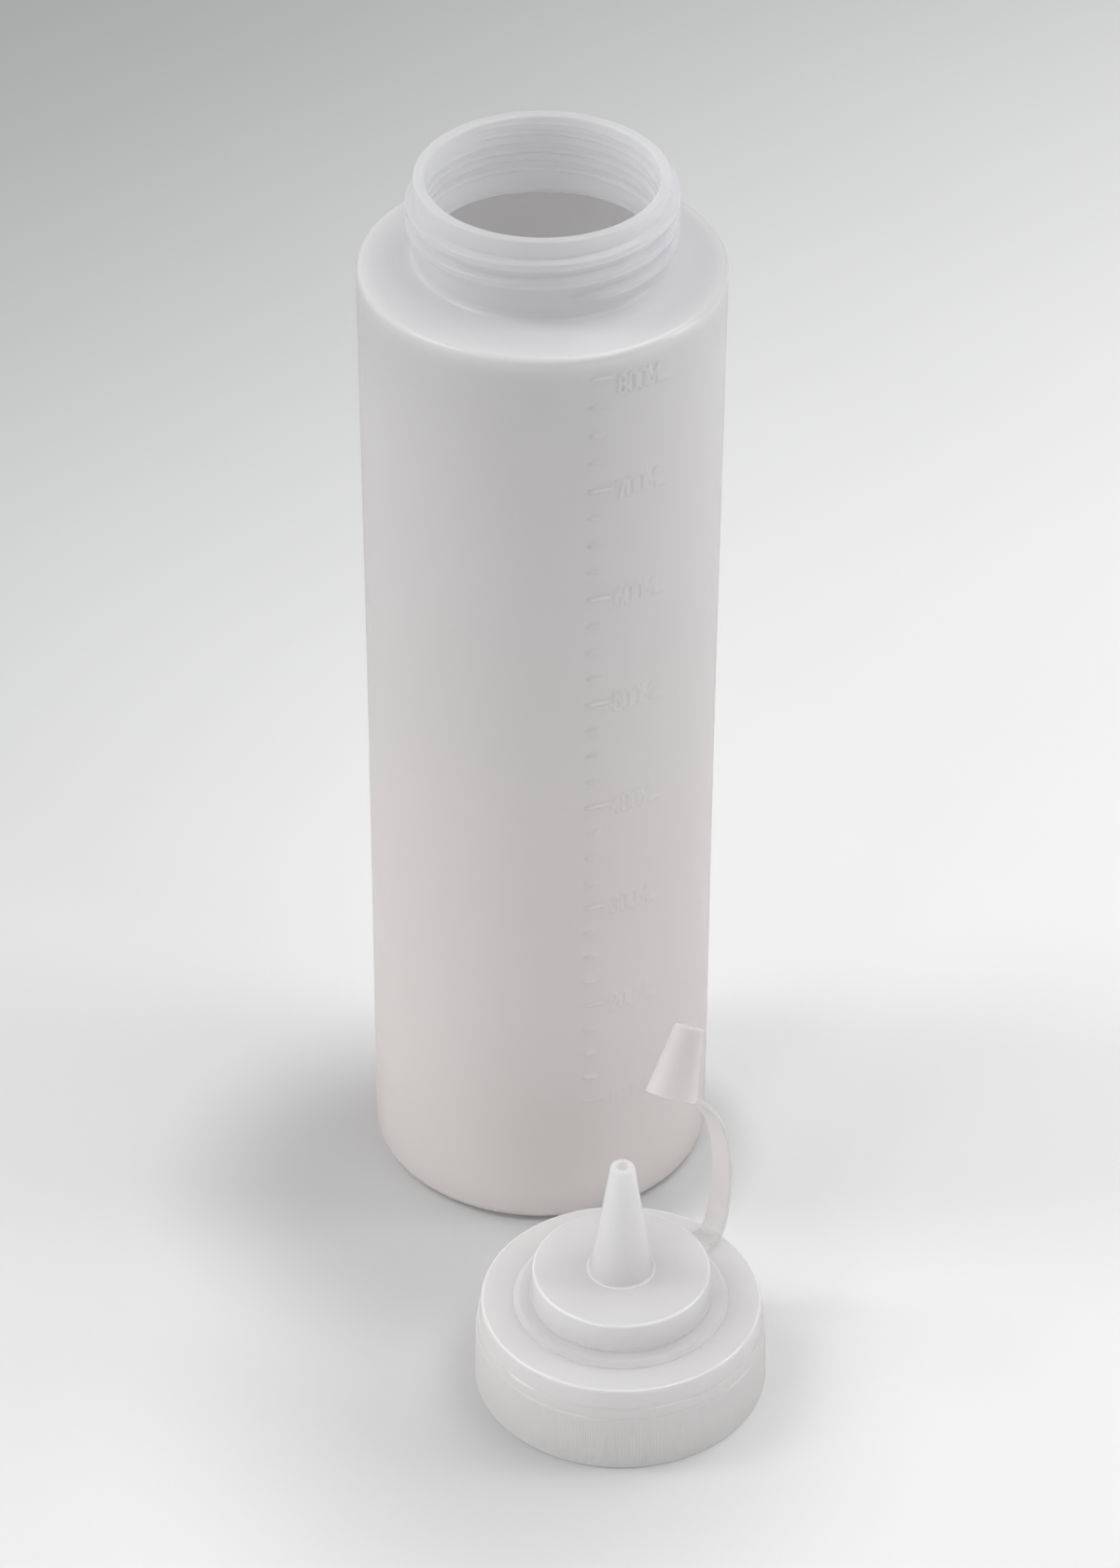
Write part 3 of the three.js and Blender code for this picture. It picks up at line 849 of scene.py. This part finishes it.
def floor_material():
    m = bpy.data.materials.new("studio_floor")
    m.use_nodes = True
    nt = m.node_tree
    p = nt.nodes["Principled BSDF"]
    p.inputs["Roughness"].default_value = 0.85
    p.inputs["Specular IOR Level"].default_value = 0.2
    co = nt.nodes.new("ShaderNodeTexCoord")
    split = nt.nodes.new("ShaderNodeSeparateXYZ")
    nt.links.new(co.outputs["Object"], split.inputs["Vector"])
    # painted shade: the paper is painted darker towards the back and the left, standing in for the light falling off
    # there
    lean = nt.nodes.new("ShaderNodeVectorMath")
    lean.operation = "DOT_PRODUCT"
    lean.inputs[1].default_value = (-1.0, 1.0, 0.0)
    nt.links.new(co.outputs["Object"], lean.inputs[0])
    painted_falloff = nt.nodes.new("ShaderNodeMapRange")
    painted_falloff.interpolation_type = "SMOOTHSTEP"
    painted_falloff.inputs["From Min"].default_value = 0.05
    painted_falloff.inputs["From Max"].default_value = 0.80
    nt.links.new(lean.outputs["Value"], painted_falloff.inputs["Value"])
    grain = nt.nodes.new("ShaderNodeTexNoise")
    grain.inputs["Scale"].default_value = 9
    grain.inputs["Detail"].default_value = 3
    nt.links.new(co.outputs["Object"], grain.inputs["Vector"])
    mix = nt.nodes.new("ShaderNodeMix")
    mix.data_type = "RGBA"
    mix.inputs["A"].default_value = (0.948, 0.949, 0.954, 1)
    mix.inputs["B"].default_value = (0.481, 0.50, 0.493, 1)
    nt.links.new(painted_falloff.outputs["Result"], mix.inputs["Factor"])
    vary = nt.nodes.new("ShaderNodeMix")
    vary.data_type = "RGBA"
    vary.blend_type = "MULTIPLY"
    vary.inputs["Factor"].default_value = 0.04
    nt.links.new(mix.outputs["Result"], vary.inputs["A"])
    nt.links.new(grain.outputs["Fac"], vary.inputs["B"])
    shade = vary.outputs["Result"]
    # painted shadow: the paper is painted darker close to where the pieces stand, standing in for their soft shadows
    for middle, near, far, shadow_depth in (((-0.030, 0.015, 0.0), 0.022, 0.065, 0.29), ((0.008, 0.0265, 0.0), 0.0225, 0.0375, 0.24), ((-0.010, -0.0665, 0.0), 0.0, 0.088, 0.33)):
        d = nt.nodes.new("ShaderNodeVectorMath")
        d.operation = "DISTANCE"
        d.inputs[1].default_value = middle
        nt.links.new(co.outputs["Object"], d.inputs[0])
        r = nt.nodes.new("ShaderNodeMapRange")
        r.interpolation_type = "SMOOTHSTEP"
        r.inputs["From Min"].default_value = near
        r.inputs["From Max"].default_value = far
        r.inputs["To Min"].default_value = shadow_depth
        r.inputs["To Max"].default_value = 0.0
        nt.links.new(d.outputs["Value"], r.inputs["Value"])
        painted_shadow = nt.nodes.new("ShaderNodeMix")
        painted_shadow.data_type = "RGBA"
        painted_shadow.blend_type = "MULTIPLY"
        painted_shadow.inputs["B"].default_value = (0.0, 0.0, 0.0, 1)
        nt.links.new(r.outputs["Result"], painted_shadow.inputs["Factor"])
        nt.links.new(shade, painted_shadow.inputs["A"])
        shade = painted_shadow.outputs["Result"]
    nt.links.new(shade, p.inputs["Base Color"])
    return m


# ---------------------------------------------------------------- object
# the bottle is tinted warmer and lighter towards the foot, partly its own warm tint and partly painted light bounced up
# from the floor; the shoulder corner carries a painted highlight
bottle_plastic = plastic("milky_satin_bottle", (0.985, 0.957, 0.947), (0.893, 0.886, 0.891), (0.0, 0.215), 0.012, 0.22, 0.03, 0.42, 0.15, 0.000002, 0.00003, neck=(0.5, 0.32), shine=0.75,
                         centre=BOTTLE_AT, painted_highlights=((35.7, 215.0, 2.6, 0.13),), top=(0.2128, 0.2170, (0.926, 0.928, 0.943)))
# the cap is tinted warmer and lighter low down, partly its own pinkish tint and partly painted light; the dome edge,
# shelf edge, nozzle foot and skirt foot carry painted highlights
cap_plastic = plastic("clear_milky_cap", (0.995, 0.977, 0.972), (0.975, 0.968, 0.97), (0.006, 0.022), 0.008, 0.12, 0.03, 0.46, 0.5, 0.000001, 0.00002, see=0.2, see_edge=0.1,
                      centre=CAP_AT, painted_highlights=((17.98, 27.5, 0.5, 0.7), (28.25, 19.5, 0.42, 0.65), (6.84, 27.8, 0.32, 0.8), (29.85, 0.25, 0.5, 0.9)))
tether_plastic = plastic("clear_milky_tether", (0.98, 0.97, 0.97), (0.98, 0.97, 0.97), (0.02, 0.06), 0.008, 0.13, 0.03, 0.2, 0.25, 0.000001, 0.00002, see=0.78, see_edge=0.35, shine=0.5)
strap_plastic = plastic("clear_milky_strap", (0.915, 0.899, 0.893), (0.875, 0.857, 0.852), (0.02, 0.045), 0.008, 0.13, 0.03, 0.4, 0.25, 0.000001, 0.00002, see=0.25, see_edge=0.06, shine=0.6, fade=(0.0215, 0.027, 0.7))
tip_plastic = plastic("clear_milky_tip", (0.90, 0.885, 0.88), (0.90, 0.885, 0.88), (0.05, 0.08), 0.008, 0.12, 0.03, 0.42, 0.25, 0.000001, 0.00002, see=0.42, see_edge=0.04)


def finish_piece(ob, material, slot, *nodes):
    ob.data.materials.clear()
    ob.data.materials.append(material)
    if nodes:
        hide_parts(*nodes)


piece = bottle()
finish_piece(piece, bottle_plastic, "bottle", "bottle")
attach(piece, "bottle")

piece = nozzle_cap()
finish_piece(piece, cap_plastic, "cap", "cap_shell")
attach(piece, "cap")

piece, cut = tether_ring()
finish_piece(piece, tether_plastic, "tether", "tether_ring")
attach(piece, "tether")

bends = [arc_near(h) for h in HINGES]
cuts = [cut, (arc_near((26.4, 20.5)) + bends[1]) / 2]
cuts += [(bends[i] + bends[i + 1]) / 2 for i in range(1, 6)]
cuts += [LINE_S[-1] - 1.7, LINE_S[-1]]
names = ["strap_root", "strap_bend_a", "strap_bend_b", "strap_bend_c", "strap_bend_d", "strap_bend_e", "strap_bend_f", "strap_end"]
for i, name in enumerate(names):
    s0, s1 = cuts[i], cuts[i + 1]
    edge = 0.12 * (s1 - s0) if i == 7 else 0.3
    piece, ss = strap_piece(name, s0, s1, (s0 + edge, s1 - edge) if i == 7 else None)
    hidden = ["strap_%d" % (i + 1)] if i < 7 else []
    finish_piece(piece, strap_plastic, "tether", *hidden)
    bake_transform(piece)

piece = tip_cap()
finish_piece(piece, tip_plastic, "tether", "tip_cap")
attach(piece, "tip_cap")

# ---------------------------------------------------------------- floor, light, camera
b = Body()
n = 13
xs = np.linspace(-3000, 3000, n)
grid = [b.add([(x, y, -0.05) for x in xs]) for y in xs]
for p, q in zip(grid[:-1], grid[1:]):
    b.bridge(p, q, closed=False)
floor = b.make("studio_floor")
for f in floor.data.polygons:
    if f.normal.z < 0:
        f.flip()
floor.data.materials.append(floor_material())


def softbox(name, at, aim, size, power, colour=(1, 1, 1), spread=180):
    light = bpy.data.lights.new(name, "AREA")
    light.shape = "RECTANGLE"
    light.size, light.size_y = size
    light.energy = power
    light.color = colour
    light.spread = math.radians(spread)
    ob = bpy.data.objects.new(name, light)
    ob.location = at
    ob.rotation_euler = (Vector(aim) - Vector(at)).to_track_quat("-Z", "Y").to_euler()
    bpy.context.scene.collection.objects.link(ob)
    return ob


softbox("key", (0.42, 0.20, 1.10), (0, 0, 0), (0.70, 0.70), 4.4)
softbox("right_strip", (0.95, 0.0, 0.42), (0, 0, 0.12), (0.35, 0.6), 2.4)
softbox("left_high", (-0.60, 0.04, 0.95), (0, 0, 0.15), (0.22, 0.5), 1.8)
softbox("front_fill", (0.45, -0.35, 1.05), (0, 0, 0.1), (0.4, 0.4), 1.0)
softbox("low_front", (-0.30, -0.52, 0.30), (0.005, -0.045, 0.0), (0.16, 0.16), 0.015, spread=32)


def studio_world(even, up=0.0, left=0.0, right=0.0, back=0.0, front=0.0, colour=(1.0, 0.995, 0.99)):
    """A dim room whose walls and ceiling differ in brightness."""
    w = bpy.data.worlds.new("studio")
    bpy.context.scene.world = w
    w.use_nodes = True
    nt = w.node_tree
    bg = nt.nodes["Background"]
    bg.inputs["Color"].default_value = colour + (1,)
    co = nt.nodes.new("ShaderNodeTexCoord")
    total = None
    for axis, amount in (((0, 0, 1), up), ((-1, 0, 0), left), ((1, 0, 0), right), ((0, 1, 0), back), ((0, -1, 0), front)):
        if amount <= 0:
            continue
        d = nt.nodes.new("ShaderNodeVectorMath")
        d.operation = "DOT_PRODUCT"
        d.inputs[1].default_value = axis
        nt.links.new(co.outputs["Generated"], d.inputs[0])
        c = nt.nodes.new("ShaderNodeMath")
        c.operation = "MAXIMUM"
        c.inputs[1].default_value = 0.0
        nt.links.new(d.outputs["Value"], c.inputs[0])
        k = nt.nodes.new("ShaderNodeMath")
        k.operation = "MULTIPLY_ADD"
        k.inputs[1].default_value = amount
        k.inputs[2].default_value = even
        nt.links.new(c.outputs["Value"], k.inputs[0])
        if total is not None:
            k.inputs[2].default_value = 0.0
            nt.links.new(total, k.inputs[2])
        total = k.outputs["Value"]
    if total is not None:
        nt.links.new(total, bg.inputs["Strength"])
    else:
        bg.inputs["Strength"].default_value = even



studio_world(0.205, left=1.06)

pitch, yaw, roll = math.radians(36.493), math.radians(-0.227), math.radians(0.239)
ahead = Vector((-math.sin(yaw) * math.cos(pitch), math.cos(yaw) * math.cos(pitch), -math.sin(pitch)))
right = Vector((math.cos(yaw), math.sin(yaw), 0))
up = right.cross(ahead)
r_ = right * math.cos(roll) + up * math.sin(roll)
u_ = -right * math.sin(roll) + up * math.cos(roll)
cam = bpy.data.cameras.new("camera")
cam.sensor_fit = "AUTO"
cam.sensor_width = 36
cam.lens = 134.192
cam.clip_start = 0.05
cam.clip_end = 20
camera = bpy.data.objects.new("camera", cam)
camera.matrix_world = Matrix(
    (
        (r_.x, u_.x, -ahead.x, -0.004925),
        (r_.y, u_.y, -ahead.y, -0.939425),
        (r_.z, u_.z, -ahead.z, 0.8118),
        (0, 0, 0, 1),
    )
)
bpy.context.scene.collection.objects.link(camera)
bpy.context.scene.camera = camera

bpy.context.scene.view_settings.view_transform = "Standard"
bpy.context.scene.view_settings.look = "None"

bpy.context.view_layer.update()
